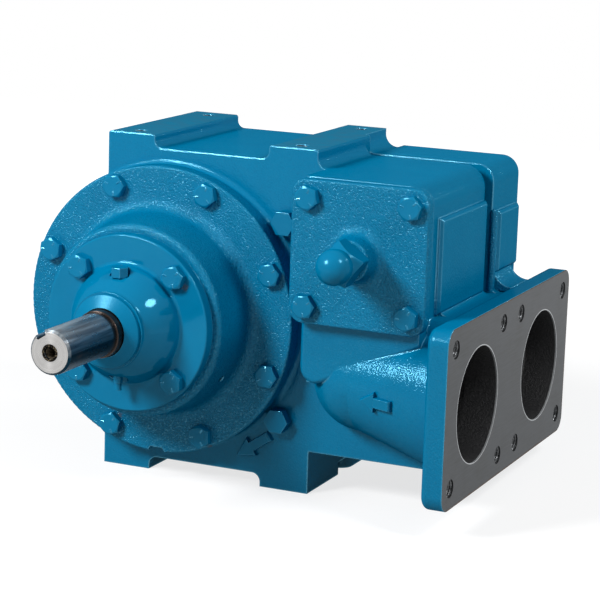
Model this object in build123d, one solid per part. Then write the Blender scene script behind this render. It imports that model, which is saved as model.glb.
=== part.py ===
import os

from build123d import *

# Rotary vane pump. The shaft points to -Y (the front), the ports face +X and +Z is up.
# The sub-parts are drawn from the shaft axis at the middle of the casing's depth. At the
# end all of them move so that the origin is under the feet, between the four foot holes.

# Driving dimensions, in millimetres
# How far two sub-parts of one solid run into each other
overlap = 1.0

# Casing block, seen from the shaft end
casing_half_depth = 85.0
casing_left = 65.0
casing_right = 140.0
casing_half_height = 142.0
barrel_radius = 122.0
pad_height = 12.0
pad_width = 46.5
pad_fillet = 7.0
cast_round = 2.5
foot_fillet = 8.0
ring_inset = 1.5
ring_height = 8.0
ring_depth = 20.0
ring_fillet = 5.0
chamber_radius = 104.0

# Feet and the tapped holes in the feet and in the top pads
foot_length = 80.0
foot_round = 12.0
pad_hole_radius = 6.35
foot_hole_radius = 6.9
mount_hole_depth = 22.0
mount_hole_inset = 18.0

# Port flange with two bores side by side
flange_face = 295.0
flange_thickness = 20.0
flange_width = 323.0
flange_height = 156.0
flange_corner = 14.0
flange_edge_round = 6.0
port_radius = 50.8
port_pitch = 166.0
port_height = -51.0
port_hole_square = 119.0
port_hole_radius = 8.0
port_hole_depth = 26.0

# Ducts behind the flange, one cone to each port, on a web between them
duct_flange_radius = 66.0
duct_flange_height = -48.0
duct_root_radius = 47.0
duct_root_height = -40.5
web_bottom = -115.0
neck_top = 22.0
neck_round = 10.0
neck_front_round = 12.0
window_width = 52.0
window_corner = 16.0
window_edge = 6.4
inlet_window_low = -78.0
inlet_window_high = -14.0
outlet_window_low = -24.0
outlet_window_high = 48.0
port_straight = 30.0

# Relief valve housing, in two blocks with a groove between them
housing_top = 137.5
housing_front_proud = 41.0
housing_back_proud = 15.0
housing_groove_start = 22.0
housing_groove_width = 10.0
housing_groove_depth = 18.0
housing_left = 146.5
front_housing_right = 255.5
back_housing_right = 260.0
front_housing_corner = 20.0
back_housing_corner = 16.0
housing_bottom = -44.0
nose_low_left = -50.0
nose_low_right = 1.0
nose_low_round = 14.0
nose_edge_round = 4.0
front_root_fillet = 9.0
back_root_fillet = 12.0
back_pad_inset = 6.0
panel_height = 4.5
panel_chamfer = 2.5
front_panel_bottom = 24.0
front_panel_top = 107.0
front_panel_front_gap = 33.0
front_panel_back_gap = 2.0
back_panel_bottom = 39.0
back_panel_top = 95.0
back_panel_front_gap = 10.0
back_panel_back_gap = 5.0

# Heads, one each side of the casing, turned about the shaft axis
head_radius = 130.0
head_rim = 14.0
head_edge_round = 2.0
boss_base_radius = 91.0
boss_radius = 85.0
boss_height = 49.0
boss_fillet = 11.0
boss_round = 5.0
rim_notch_width = 18.0
rim_notch_depth = 4.5
rim_notch_slope = 3.0
weep_hole_radius = 3.0
weep_hole_depth = 24.0
weep_hole_angle = -33.0
weep_hole_from_rim = 22.0
spigot_length = 8.6

# Bearing covers on the heads
gasket_thickness = 1.0
cover_radius = 78.0
cover_thickness = 10.0
cover_round = 1.5
hub_radius = 51.5
hub_height = 35.0
hub_fillet = 2.5
hub_shoulder = 5.0
hub_shoulder_round = 3.5
nose_radius = 34.0
nose_rim = 3.0
nose_fillet = 6.0
blind_hub_height = 22.0
blind_hub_round = 10.0
grease_seat_height = 43.5
grease_seat_radius = 9.0
grease_from_cover = 13.5
grease_plug_flats = 14.0
grease_plug_height = 8.5
grease_relief_radius = 4.0
grease_relief_tip_radius = 3.2
grease_relief_height = 6.0
grease_relief_tip_height = 13.0
shield_radius = 31.9
shield_rim = 2.5
shield_height = 8.5
shield_gap = 0.8

# Shaft, rotor and vanes
shaft_radius = 19.05
shaft_projection = 95.0
shaft_chamfer = 2.0
keyway_width = 9.5
keyway_depth = 4.8
keyway_length = 72.0
keyway_angle = 123.0
centre_hole_radius = 5.2
centre_hole_depth = 22.0
seal_journal_radius = 20.6
seal_journal_projection = 17.0
seal_journal_inside = 10.0
shaft_back_gap = 2.0
seal_journal_round = 1.0
bearing_journal_radius = 24.0
rotor_shaft_radius = 30.0
rotor_shaft_gap = 5.4
running_fit = 0.05
rotor_radius = 81.0
rotor_end_gap = 6.4
vane_count = 6
vane_thickness = 12.0
vane_height = 34.0
vane_clearance = 0.3
slot_floor_gap = 2.0

# Liner and end discs inside the chamber
seat_clearance = 0.3
liner_bore_radius = 94.0
liner_offset = 7.0
disc_thickness = 14.0
disc_bore_radius = 36.0

# Relief valve cover with its boss and screwed cap
valve_cover_size = 124.0
valve_cover_thickness = 11.0
valve_cover_corner = 13.0
valve_cover_height = 75.0
valve_gasket_inset = 3.0
cap_boss_radius = 20.0
cap_boss_top_radius = 17.5
cap_boss_height = 20.0
cap_boss_fillet = 9.0
cap_flats = 33.0
cap_turn = 8.0
cap_hex_height = 14.0
cap_ball_radius = 15.0
cap_ball_from_hex = 15.0
cap_neck_radius = 13.0

# Hex plugs in the casing beside the heads
plug_flats = 20.0
plug_height = 9.0
plug_collar_radius = 9.4
plug_collar_height = 1.5
plug_from_head = 3.6
upper_plug_angle = 38.0
lower_plug_angle = -38.6

# Sizes worked out from the ones above
pad_top = casing_half_height + pad_height
ring_radius = head_radius - ring_inset
ring_face = casing_half_depth + ring_height
rim_face = ring_face + head_rim
boss_face = rim_face + boss_height
cover_seat = boss_face + gasket_thickness
cover_face = cover_seat + cover_thickness
nose_face = cover_face + hub_height
grease_middle = cover_face + grease_from_cover
flange_back = flange_face - flange_thickness
inside_right = casing_right - 5 * overlap
half_pitch = port_pitch / 2
housing_front = casing_half_depth + housing_front_proud
housing_back = casing_half_depth + housing_back_proud
shaft_end = nose_face + shaft_projection
seal_journal_end = nose_face + seal_journal_projection
spigot_end = ring_face - spigot_length
liner_half_length = spigot_end - disc_thickness
rotor_shaft_half_length = spigot_end - rotor_shaft_gap
rotor_half_length = liner_half_length - rotor_end_gap
window_offset = liner_half_length - window_edge - window_width / 2
plug_distance = head_radius + plug_from_head + plug_collar_radius
left_pad_middle = -casing_left + pad_width / 2
right_pad_middle = casing_right - pad_width / 2
mount_hole_side = casing_half_depth - mount_hole_inset
valve_gasket_seat = housing_front
valve_cover_seat = valve_gasket_seat + gasket_thickness
valve_cover_face = valve_cover_seat + valve_cover_thickness
valve_cover_middle = casing_right + valve_cover_size / 2
# Each passage: the side its port is on, then the lower and upper edge of its window
passages = [
    (-1, inlet_window_low, inlet_window_high),
    (1, outlet_window_low, outlet_window_high),
]
placement = Pos(-(left_pad_middle + right_pad_middle) / 2, 0, pad_top)


def outline(points, radii):
    """A closed face from corner points, each with its own rounding."""
    return make_face(FilletPolyline(*points, radius=radii, close=True))


def prism_y(face, back, front):
    """Extrudes a face drawn in X and Z from y = back to y = front, where front is lower."""
    return extrude(Plane.XZ.offset(-back) * face, back - front)


def prism_x(face, start, end):
    """Extrudes a face drawn in Y and Z from x = start to x = end."""
    return extrude(Plane.YZ.offset(start) * face, end - start)


def prism_z(face, bottom, top):
    """Extrudes a face drawn in X and Y from z = bottom to z = top."""
    return extrude(Plane.XY.offset(bottom) * face, top - bottom)


def turned(points, radii, side=-1):
    """Turns a profile of (radius, distance from the middle) about the shaft axis."""
    placed = [(radius, side * distance) for radius, distance in points]
    return revolve(outline(placed, radii), Axis.Y)


def rod_y(radius, back, front, x=0.0, z=0.0):
    """A round rod along Y from y = back to y = front, where front is lower."""
    return prism_y(Pos(x, z) * Circle(radius), back, front)


def casing_profile():
    """The block with its two top pads, seen from the shaft end."""
    inner_left = -casing_left + pad_width
    inner_right = casing_right - pad_width
    points = [
        (-casing_left, -casing_half_height),
        (-casing_left, pad_top),
        (inner_left, pad_top),
        (inner_left, casing_half_height),
        (inner_right, casing_half_height),
        (inner_right, pad_top),
        (casing_right, pad_top),
        (casing_right, -casing_half_height),
    ]
    return outline(points, [0, cast_round, cast_round, pad_fillet, pad_fillet, cast_round, cast_round, 0])


def feet():
    """Four feet, flush with the faces of the block and rounded towards its middle."""
    made = []
    for middle in (left_pad_middle, right_pad_middle):
        for side in (-1, 1):
            outer = side * casing_half_depth
            inner = side * (casing_half_depth - foot_length)
            half = pad_width / 2
            points = [
                (middle - half, outer),
                (middle - half, inner),
                (middle + half, inner),
                (middle + half, outer),
            ]
            plan = outline(points, [0, foot_round, foot_round, 0])
            made.append(prism_z(plan, -pad_top, -casing_half_height + cast_round))
    return made


def foot_corners():
    """The soft corner under the core along the inner side of each foot's straight part."""
    made = []
    straight = foot_length - foot_round
    for middle, toward in ((left_pad_middle, 1), (right_pad_middle, -1)):
        inner = middle + toward * pad_width / 2
        points = [
            (middle, cast_round - casing_half_height),
            (middle, -casing_half_height - foot_fillet - overlap),
            (inner, -casing_half_height - foot_fillet - overlap),
            (inner, -casing_half_height),
            (inner + toward * (foot_fillet + overlap), -casing_half_height),
            (inner + toward * (foot_fillet + overlap), cast_round - casing_half_height),
        ]
        profile = outline(points, [0, 0, 0, foot_fillet, 0, 0])
        made.append(prism_y(profile, straight - casing_half_depth, -casing_half_depth))
        made.append(prism_y(profile, casing_half_depth, casing_half_depth - straight))
    return made


def barrel():
    """The round chamber wall that bulges past the block, with a raised ring at each end."""
    return [
        rod_y(barrel_radius, casing_half_depth, -casing_half_depth),
        rod_y(ring_radius, ring_depth - ring_face, -ring_face),
        rod_y(ring_radius, ring_face, ring_face - ring_depth),
    ]


def ring_root(side):
    """The soft corner where a raised ring leaves the casing's face."""
    reach = ring_radius + ring_fillet + overlap
    points = [
        (ring_radius - overlap, casing_half_depth - overlap),
        (ring_radius - overlap, casing_half_depth + ring_fillet + overlap),
        (ring_radius, casing_half_depth + ring_fillet + overlap),
        (ring_radius, casing_half_depth),
        (reach, casing_half_depth),
        (reach, casing_half_depth - overlap),
    ]
    corner = turned(points, [0, 0, 0, ring_fillet, 0, 0], side)
    return corner & prism_y(casing_profile(), ring_face, -ring_face)


def housing(back, front, right, corner, root, root_fillet):
    """One block of the relief valve housing, spread at its foot over the neck below."""
    root_top = housing_top + root_fillet + overlap
    points = [
        (root - overlap, root_top),
        (root, root_top),
        (root, housing_top),
        (right, housing_top),
        (right, neck_top),
        (flange_back + overlap, neck_top),
        (flange_back + overlap, housing_bottom),
        (root - overlap, housing_bottom),
    ]
    radii = [0, 0, root_fillet, corner, neck_round, 0, 0, 0]
    return prism_y(outline(points, radii), back, front)


def pad_recess(back, front):
    """The room cut from the right pad beside the back block, where the pad is narrower."""
    middle = Pos(casing_right, housing_top + pad_height)
    return prism_y(middle * Rectangle(2 * back_pad_inset, 2 * pad_height), back, front)


def groove_floor(back, front):
    """The wall between the two blocks, whose outer face is the floor of the groove."""
    points = [
        (inside_right, housing_top - housing_groove_depth),
        (front_housing_right - housing_groove_depth, housing_top - housing_groove_depth),
        (front_housing_right - housing_groove_depth, housing_bottom),
        (inside_right, housing_bottom),
    ]
    return prism_y(outline(points, [0, neck_round, 0, 0]), back, front)


def panel(back, front, bottom, top, right):
    """A flat raised panel on the port side of a block."""
    points = [(front, bottom), (front, top), (back, top), (back, bottom)]
    solid = prism_x(outline(points, [0, 0, 0, 0]), right - overlap, right + panel_height)
    return chamfer(solid.faces().sort_by(Axis.X)[-1].edges(), panel_chamfer)


def housing_nose(face, right, corner):
    """The part of a block that stands proud of the casing's face, above the duct."""
    points = [
        (housing_left, housing_top),
        (right, housing_top),
        (right, nose_low_right),
        (housing_left, nose_low_left),
    ]
    flat = outline(points, [0, corner, 0, nose_low_round])
    if face > 0:
        return prism_y(flat, face, casing_half_depth)
    solid = prism_y(flat, -casing_half_depth, face)
    low_corner = solid.faces().sort_by(Axis.Y)[0].edges().sort_by(Axis.Z)[0]
    return fillet(low_corner, nose_edge_round)


def duct(side):
    """The cone that widens from a round end beside the casing to one port of the flange."""
    root_x = housing_left + duct_root_radius
    root = Plane.YZ.offset(root_x) * Pos(side * half_pitch, duct_root_height)
    end = Plane.YZ.offset(flange_back) * Pos(side * half_pitch, duct_flange_height)
    cone = loft([root * Circle(duct_root_radius), end * Circle(duct_flange_radius)])
    return [cone, Pos(root_x, side * half_pitch, duct_root_height) * Sphere(duct_root_radius)]


def flange():
    """The machined plate that both ports share."""
    plate = Pos(0, port_height) * RectangleRounded(flange_width, flange_height, flange_corner)
    solid = prism_x(plate, flange_back, flange_face)
    return fillet(solid.faces().sort_by(Axis.X)[0].edges(), flange_edge_round)


def window(side, low, high):
    """The outline of a window in the chamber wall, in Y and Z."""
    opening = RectangleRounded(window_width, high - low, window_corner)
    return Pos(side * window_offset, (low + high) / 2) * opening


def passage(side, low, high):
    """The way from one port bore to its window in the chamber wall."""
    bore = Pos(side * half_pitch, port_height) * Circle(port_radius)
    opening = window(side, low, high)
    bore_end = flange_face - port_straight
    straight = prism_x(bore, bore_end, flange_face)
    narrow = loft([Plane.YZ.offset(bore_end) * bore, Plane.YZ.offset(casing_right) * opening])
    mouth = prism_x(opening, 0, casing_right)
    return [straight, narrow, mouth]


def port_holes():
    """Four tapped holes round each port."""
    half = port_hole_square / 2
    made = []
    for side in (-1, 1):
        for y in (-half, half):
            for z in (-half, half):
                circle = Pos(side * half_pitch + y, port_height + z) * Circle(port_hole_radius)
                made.append(prism_x(circle, flange_face - port_hole_depth, flange_face))
    return made


def mount_holes():
    """Four tapped holes in the top pads and four in the feet."""
    made = []
    for x in (left_pad_middle, right_pad_middle):
        for y in (-mount_hole_side, mount_hole_side):
            pad_hole = Pos(x, y) * Circle(pad_hole_radius)
            foot_hole = Pos(x, y) * Circle(foot_hole_radius)
            made.append(prism_z(pad_hole, pad_top - mount_hole_depth, pad_top))
            made.append(prism_z(foot_hole, -pad_top, mount_hole_depth - pad_top))
    return made


def casing():
    """The main casting, open at both ends for the heads and at its two ports."""
    groove_end = housing_groove_start + housing_groove_width
    body = prism_y(casing_profile(), casing_half_depth, -casing_half_depth)
    body += feet() + foot_corners() + barrel() + [ring_root(-1), ring_root(1)]
    body -= pad_recess(casing_half_depth, groove_end)
    back_root = casing_right - back_pad_inset
    body += [
        housing(
            housing_groove_start,
            -casing_half_depth,
            front_housing_right,
            front_housing_corner,
            casing_right,
            front_root_fillet,
        ),
        housing(
            casing_half_depth,
            groove_end,
            back_housing_right,
            back_housing_corner,
            back_root,
            back_root_fillet,
        ),
        groove_floor(groove_end, housing_groove_start),
        housing_nose(-housing_front, front_housing_right, front_housing_corner),
        housing_nose(housing_back, back_housing_right, back_housing_corner),
        panel(
            housing_groove_start - front_panel_back_gap,
            front_panel_front_gap - housing_front,
            front_panel_bottom,
            front_panel_top,
            front_housing_right,
        ),
        panel(
            housing_back - back_panel_back_gap,
            groove_end + back_panel_front_gap,
            back_panel_bottom,
            back_panel_top,
            back_housing_right,
        ),
    ]
    web = Pos((casing_right + flange_back) / 2, 0, (web_bottom + housing_bottom) / 2)
    web *= Box(flange_back - casing_right + 2 * overlap, 2 * casing_half_depth, housing_bottom - web_bottom)
    neck_points = [
        (-housing_front + front_panel_front_gap / 2, housing_bottom - overlap),
        (-housing_front + front_panel_front_gap / 2, neck_top),
        (housing_back, neck_top),
        (housing_back, housing_bottom - overlap),
    ]
    neck = outline(neck_points, [0, neck_front_round, neck_front_round, 0])
    neck = prism_x(neck, housing_left, flange_back + overlap)
    body += [web, neck, flange()] + duct(-1) + duct(1)
    body -= rod_y(chamber_radius, ring_face, -ring_face)
    for side, low, high in passages:
        body -= passage(side, low, high)
    body -= port_holes()
    body -= mount_holes()
    return body


def head(side):
    """A round head with a spigot, a raised bearing boss and a notch in its rim."""
    spigot_radius = chamber_radius - seat_clearance
    bore = bearing_journal_radius + running_fit
    points = [
        (bore, spigot_end),
        (spigot_radius, spigot_end),
        (spigot_radius, ring_face),
        (head_radius, ring_face),
        (head_radius, rim_face),
        (boss_base_radius, rim_face),
        (boss_radius, boss_face),
        (bore, boss_face),
    ]
    radii = [0, 0, 0, 0, head_edge_round, boss_fillet, boss_round, 0]
    solid = turned(points, radii, side)
    mouth = rim_notch_width / 2 + rim_notch_slope
    floor = rim_notch_width / 2 - rim_notch_slope
    notch_points = [
        (-mouth, -head_radius - rim_notch_depth),
        (-floor, rim_notch_depth - head_radius),
        (floor, rim_notch_depth - head_radius),
        (mouth, -head_radius - rim_notch_depth),
    ]
    near, far = sorted((side * ring_face, side * rim_face))
    solid -= prism_y(outline(notch_points, [0, 0, 0, 0]), far, near)
    drill = Pos(boss_base_radius, 0, 0) * Rot(0, 90, 0) * Cylinder(weep_hole_radius, 2 * weep_hole_depth)
    middle = Pos(0, side * (rim_face + weep_hole_from_rim), 0)
    return solid - middle * Rot(0, -weep_hole_angle, 0) * drill


def cover_gasket(side):
    """The thin gasket between a head and its bearing cover."""
    bore = bearing_journal_radius + running_fit
    points = [(bore, boss_face), (cover_radius, boss_face), (cover_radius, cover_seat), (bore, cover_seat)]
    return turned(points, [0, 0, 0, 0], side)


def grease_seats(side):
    """Two flat round seats cut into a cover's hub, above and below the shaft."""
    circle = Pos(0, side * grease_middle) * Circle(grease_seat_radius)
    above = prism_z(circle, grease_seat_height, cover_radius)
    below = prism_z(circle, -cover_radius, -grease_seat_height)
    return [above, below]


def front_bearing_cover():
    """The front cover: a round flange and a tapered hub that the shaft comes out of."""
    bore = bearing_journal_radius + running_fit
    points = [
        (bore, cover_seat),
        (cover_radius, cover_seat),
        (cover_radius, cover_face),
        (hub_radius, cover_face),
        (hub_radius, cover_face + hub_shoulder),
        (nose_radius, nose_face - nose_rim),
        (nose_radius, nose_face),
        (bore, nose_face),
    ]
    radii = [0, 0, cover_round, hub_fillet, hub_shoulder_round, nose_fillet, cover_round / 2, 0]
    return turned(points, radii) - grease_seats(-1)


def back_bearing_cover():
    """The back cover: the same flange with a closed hub."""
    hub_face = cover_face + blind_hub_height
    points = [
        (0, cover_seat),
        (cover_radius, cover_seat),
        (cover_radius, cover_face),
        (hub_radius, cover_face),
        (hub_radius, hub_face),
        (0, hub_face),
    ]
    return turned(points, [0, 0, cover_round, hub_fillet, blind_hub_round, 0], 1) - grease_seats(1)


def dust_shield():
    """The tapered ring on the nose of the front cover, open round the shaft."""
    inner = seal_journal_radius + shield_gap
    points = [
        (inner, nose_face),
        (shield_radius, nose_face),
        (shield_radius, nose_face + shield_rim),
        (inner, nose_face + shield_height),
    ]
    return turned(points, [0, 0, cover_round / 2, 0])


def grease_plug(side):
    """A small hex plug that stands on top of a cover's hub."""
    hexagon = Pos(0, side * grease_middle) * RegularPolygon(grease_plug_flats / 2, 6, major_radius=False)
    return prism_z(hexagon, grease_seat_height, grease_seat_height + grease_plug_height)


def grease_relief(side):
    """A small stepped fitting that hangs under a cover's hub."""
    middle = Pos(0, side * grease_middle)
    seat = -grease_seat_height
    body = prism_z(middle * Circle(grease_relief_radius), seat - grease_relief_height, seat)
    tip = prism_z(middle * Circle(grease_relief_tip_radius), seat - grease_relief_tip_height, seat)
    return body + tip


def shaft():
    """The shaft with its stepped journals, key slot and centre hole."""
    points = [
        (0, shaft_back_gap - boss_face),
        (bearing_journal_radius, shaft_back_gap - boss_face),
        (bearing_journal_radius, -rotor_shaft_half_length),
        (rotor_shaft_radius, -rotor_shaft_half_length),
        (rotor_shaft_radius, rotor_shaft_half_length),
        (bearing_journal_radius, rotor_shaft_half_length),
        (bearing_journal_radius, nose_face - seal_journal_inside),
        (seal_journal_radius, nose_face - seal_journal_inside),
        (seal_journal_radius, seal_journal_end),
        (shaft_radius, seal_journal_end),
        (shaft_radius, shaft_end),
        (0, shaft_end),
    ]
    radii = [0, 0, 0, 0, 0, 0, 0, 0, seal_journal_round, 0, 0, 0]
    solid = turned(points, radii)
    end_edge = solid.edges().filter_by(GeomType.CIRCLE).sort_by(Axis.Y)[0]
    solid = chamfer(end_edge, shaft_chamfer)
    slot = Pos(0, shaft_radius) * Rectangle(keyway_width, 2 * keyway_depth)
    slot = Rot(0, 0, keyway_angle - 90) * slot
    solid -= prism_y(slot, keyway_length - shaft_end, -shaft_end)
    return solid - rod_y(centre_hole_radius, centre_hole_depth - shaft_end, -shaft_end)


def vane_slots(width, depth):
    """One radial bar for each vane, seen from the shaft end."""
    made = []
    for number in range(vane_count):
        turn = 360 / vane_count * number
        bar = Pos(rotor_radius - depth / 2, 0) * Rectangle(depth, width)
        made.append(Rot(0, 0, turn) * bar)
    return made


def rotor():
    """The slotted drum on the shaft."""
    drum = Circle(rotor_radius) - Circle(rotor_shaft_radius)
    slot_depth = vane_height + slot_floor_gap
    for slot in vane_slots(vane_thickness + 2 * vane_clearance, slot_depth):
        drum -= slot
    return prism_y(drum, rotor_half_length, -rotor_half_length)


def vane(number):
    """One flat vane, drawn in to the bottom of its slot."""
    bar = vane_slots(vane_thickness, vane_height)[number]
    return prism_y(bar, rotor_half_length, -rotor_half_length)


def liner():
    """The ring that the vanes run in, its bore set to one side of the shaft axis."""
    half = liner_half_length
    ring = rod_y(chamber_radius - seat_clearance, half, -half)
    ring -= rod_y(liner_bore_radius, half, -half, 0, -liner_offset)
    for side, low, high in passages:
        ring -= prism_x(window(side, low, high), 0, chamber_radius)
    return ring


def end_disc(side):
    """The wear disc between the liner and a head."""
    outer = chamber_radius - seat_clearance
    start = liner_half_length
    end = spigot_end
    points = [(disc_bore_radius, start), (outer, start), (outer, end), (disc_bore_radius, end)]
    return turned(points, [0, 0, 0, 0], side)


def valve_gasket():
    """The thin gasket under the relief valve cover."""
    left = housing_left + nose_edge_round
    bottom = valve_cover_height - valve_cover_size / 2 + valve_gasket_inset
    width = front_housing_right - left
    height = housing_top - bottom
    plate = RectangleRounded(width, height, valve_cover_corner)
    plate = Pos(left + width / 2, bottom + height / 2) * plate
    return prism_y(plate, -valve_gasket_seat, -valve_cover_seat)


def valve_cover():
    """The square relief valve cover with a round boss for the adjusting cap."""
    plate = RectangleRounded(valve_cover_size, valve_cover_size, valve_cover_corner)
    plate = Pos(valve_cover_middle, valve_cover_height) * plate
    solid = prism_y(plate, -valve_cover_seat, -valve_cover_face)
    solid = fillet(solid.faces().sort_by(Axis.Y)[0].edges(), cover_round)
    top = valve_cover_face + cap_boss_height
    reach = cap_boss_radius + cap_boss_fillet + overlap
    points = [
        (0, valve_cover_face - overlap),
        (reach, valve_cover_face - overlap),
        (reach, valve_cover_face),
        (cap_boss_radius, valve_cover_face),
        (cap_boss_top_radius, top),
        (0, top),
    ]
    boss = turned(points, [0, 0, 0, cap_boss_fillet, cover_round, 0])
    return solid + Pos(valve_cover_middle, 0, valve_cover_height) * boss


def valve_cap():
    """The hex cap with a ball end that closes the relief valve's screw."""
    start = -(valve_cover_face + cap_boss_height)
    hexagon = Rot(0, 0, cap_turn) * RegularPolygon(cap_flats / 2, 6, major_radius=False)
    hexagon = Pos(valve_cover_middle, valve_cover_height) * hexagon
    solid = prism_y(hexagon, start, start - cap_hex_height)
    ball_middle = start - cap_hex_height - cap_ball_from_hex
    neck = rod_y(cap_neck_radius, start, ball_middle, valve_cover_middle, valve_cover_height)
    ball = Pos(valve_cover_middle, ball_middle, valve_cover_height) * Sphere(cap_ball_radius)
    return solid + neck + ball


def casing_plug(side, angle):
    """A hex plug with a round collar, in the casing beside a head."""
    middle = Rot(0, 0, angle) * Pos(plug_distance, 0)
    upright = middle * Rot(0, 0, -angle)
    seat = side * casing_half_depth
    collar_end = side * (casing_half_depth + plug_collar_height)
    hex_end = side * (casing_half_depth + plug_collar_height + plug_height)
    back, front = max(seat, collar_end), min(seat, collar_end)
    collar = prism_y(upright * Circle(plug_collar_radius), back, front)
    back, front = max(collar_end, hex_end), min(collar_end, hex_end)
    hexagon = upright * RegularPolygon(plug_flats / 2, 6, major_radius=False)
    return collar + prism_y(hexagon, back, front)


def build():
    """Makes every node and returns them by name."""
    nodes = {
        "casing": casing(),
        "front_head": head(-1),
        "back_head": head(1),
        "front_cover_gasket": cover_gasket(-1),
        "back_cover_gasket": cover_gasket(1),
        "front_bearing_cover": front_bearing_cover(),
        "back_bearing_cover": back_bearing_cover(),
        "dust_shield": dust_shield(),
        "shaft": shaft(),
        "rotor": rotor(),
        "liner": liner(),
        "front_end_disc": end_disc(-1),
        "back_end_disc": end_disc(1),
        "relief_valve_gasket": valve_gasket(),
        "relief_valve_cover": valve_cover(),
        "relief_valve_cap": valve_cap(),
    }
    for number in range(vane_count):
        nodes[f"vane_{number + 1}"] = vane(number)
    for end, side in (("front", -1), ("back", 1)):
        nodes[f"{end}_upper_plug"] = casing_plug(side, upper_plug_angle)
        nodes[f"{end}_lower_plug"] = casing_plug(side, lower_plug_angle)
        nodes[f"{end}_grease_plug"] = grease_plug(side)
        nodes[f"{end}_grease_relief"] = grease_relief(side)
    return nodes


os.makedirs("parts", exist_ok=True)
for name, solid in build().items():
    export_step(placement * solid, f"parts/{name}.step")
    print(name, round(solid.volume))
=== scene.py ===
# %% [markdown]
# A rotary vane pump, dressed for the camera
# The solids of this pump come from its CAD model: the casting, its heads, covers, shaft
# and the parts inside. They are loaded as they are and never moved. This file gives them
# their paint, bare metal and gaskets, and adds the small things that a CAD model leaves
# out: screws, raised arrows, threads and the marks on the screw heads.

from math import cos, pi, radians, sin, sqrt

import bmesh
import bpy
from mathutils import Matrix, Quaternion, Vector


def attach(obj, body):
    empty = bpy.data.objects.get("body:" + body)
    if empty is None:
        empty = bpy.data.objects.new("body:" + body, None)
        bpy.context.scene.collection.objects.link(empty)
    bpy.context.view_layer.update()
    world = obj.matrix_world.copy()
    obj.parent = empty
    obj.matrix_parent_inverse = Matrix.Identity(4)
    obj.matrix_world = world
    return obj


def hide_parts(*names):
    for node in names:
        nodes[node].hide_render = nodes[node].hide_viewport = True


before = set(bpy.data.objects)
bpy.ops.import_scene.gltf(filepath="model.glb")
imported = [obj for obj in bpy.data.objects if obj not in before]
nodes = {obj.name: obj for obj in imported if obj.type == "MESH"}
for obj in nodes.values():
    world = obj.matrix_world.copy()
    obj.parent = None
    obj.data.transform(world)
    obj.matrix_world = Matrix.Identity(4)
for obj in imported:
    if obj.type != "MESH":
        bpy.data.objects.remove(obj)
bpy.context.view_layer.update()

# %% [markdown]
# A pump is drawn from its shaft axis, because nearly everything on it is placed from
# there: the screw circles, the heads and the ports. So the sizes below are millimetres
# from the shaft axis at the middle of the casing, x towards the ports, y away from the
# coupling end and z up. One function turns such a point into metres from the feet.

# %% Points and colours
MM = 0.001
SHAFT_AXIS = Vector((-37.5, 0.0, 154.0))


def at(x, y, z):
    """A point given from the shaft axis in millimetres, as metres from the feet."""
    return (Vector((x, y, z)) + SHAFT_AXIS) * MM


def linear(hex_colour):
    """Turns an sRGB hex colour into the linear values that a shader needs."""
    values = [int(hex_colour[i : i + 2], 16) / 255 for i in (1, 3, 5)]
    return tuple(v / 12.92 if v <= 0.04045 else ((v + 0.055) / 1.055) ** 2.4 for v in values) + (1.0,)


print("shaft axis at", [round(v, 4) for v in at(0, 0, 0)])

# %% [markdown]
# Every finish is a small tree of shader nodes. One function adds a node of any kind: it
# sets the node's options and then its inputs, in order or by name. An input takes a
# number, a hex colour, another node, or one chosen output of a node. So a tree reads as
# the list of its nodes, and there is nothing else to learn.


# %% One way to add a node
def add(tree, kind, options, inputs):
    """Adds a node. Where an input is a node, it takes that node's first working output."""
    made = tree.nodes.new("ShaderNode" + kind)
    for name, value in options.items():
        setattr(made, name, value)
    for name, value in inputs.items() if isinstance(inputs, dict) else enumerate(inputs):
        if isinstance(value, bpy.types.Node):
            value = next(output for output in value.outputs if output.enabled)
        if isinstance(value, bpy.types.NodeSocket):
            tree.links.new(value, made.inputs[name])
        else:
            made.inputs[name].default_value = linear(value) if isinstance(value, str) else value
    return made


def new_material(name):
    """An empty material and the tree of its nodes."""
    material = bpy.data.materials.new(name)
    material.use_nodes = True
    material.node_tree.nodes.clear()
    return material, material.node_tree


print("nodes can be added")

# %% [markdown]
# Zones on one casting, such as its paint and its machined face, could be painted onto the
# mesh, but a CAD mesh has long thin triangles that would show. So the zones are kept
# apart by place instead. These helpers read the place of a point in millimetres from the
# shaft axis, and turn it into masks that are 1 inside a zone and 0 outside.


# %% Places and masks
def place_of(tree):
    """The place of a point: raw, for patterns, then its x, y and z in mm from the axis."""
    here = add(tree, "TexCoord", {}, []).outputs["Object"]
    back_to_axis = [-v for v in SHAFT_AXIS]
    moved = add(tree, "VectorMath", {"operation": "MULTIPLY_ADD"}, [here, [1 / MM] * 3, back_to_axis])
    x, y, z = add(tree, "SeparateXYZ", {}, [moved]).outputs
    return here, x, y, z


def facing_of(tree):
    """Which way the surface looks, as x, y and z."""
    return add(tree, "SeparateXYZ", {}, [add(tree, "NewGeometry", {}, []).outputs["Normal"]]).outputs


def distance(tree, first, second, middle=(0.0, 0.0)):
    """How far a point lies from an axis, from its two coordinates across that axis."""
    point = add(tree, "CombineXYZ", {}, [first, second])
    axis = add(tree, "CombineXYZ", {}, middle)
    return add(tree, "VectorMath", {"operation": "DISTANCE"}, [point, axis])


def within(tree, value, low, high, soft=0.2):
    """1 between two values and 0 outside them, with a soft step at each."""
    sides = []
    for edge, half in ((low, soft / 2), (high, -soft / 2)):
        span = {"Value": value, "From Min": edge - half, "From Max": edge + half}
        sides.append(add(tree, "MapRange", {}, span))
    return add(tree, "Math", {"operation": "MINIMUM"}, sides)


def all_of(tree, *masks):
    """1 where every one of these masks is 1."""
    both = masks[0]
    for mask in masks[1:]:
        both = add(tree, "Math", {"operation": "MULTIPLY"}, [both, mask])
    return both


print("places are read from the shaft axis, in steps of", MM, "m")

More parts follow.
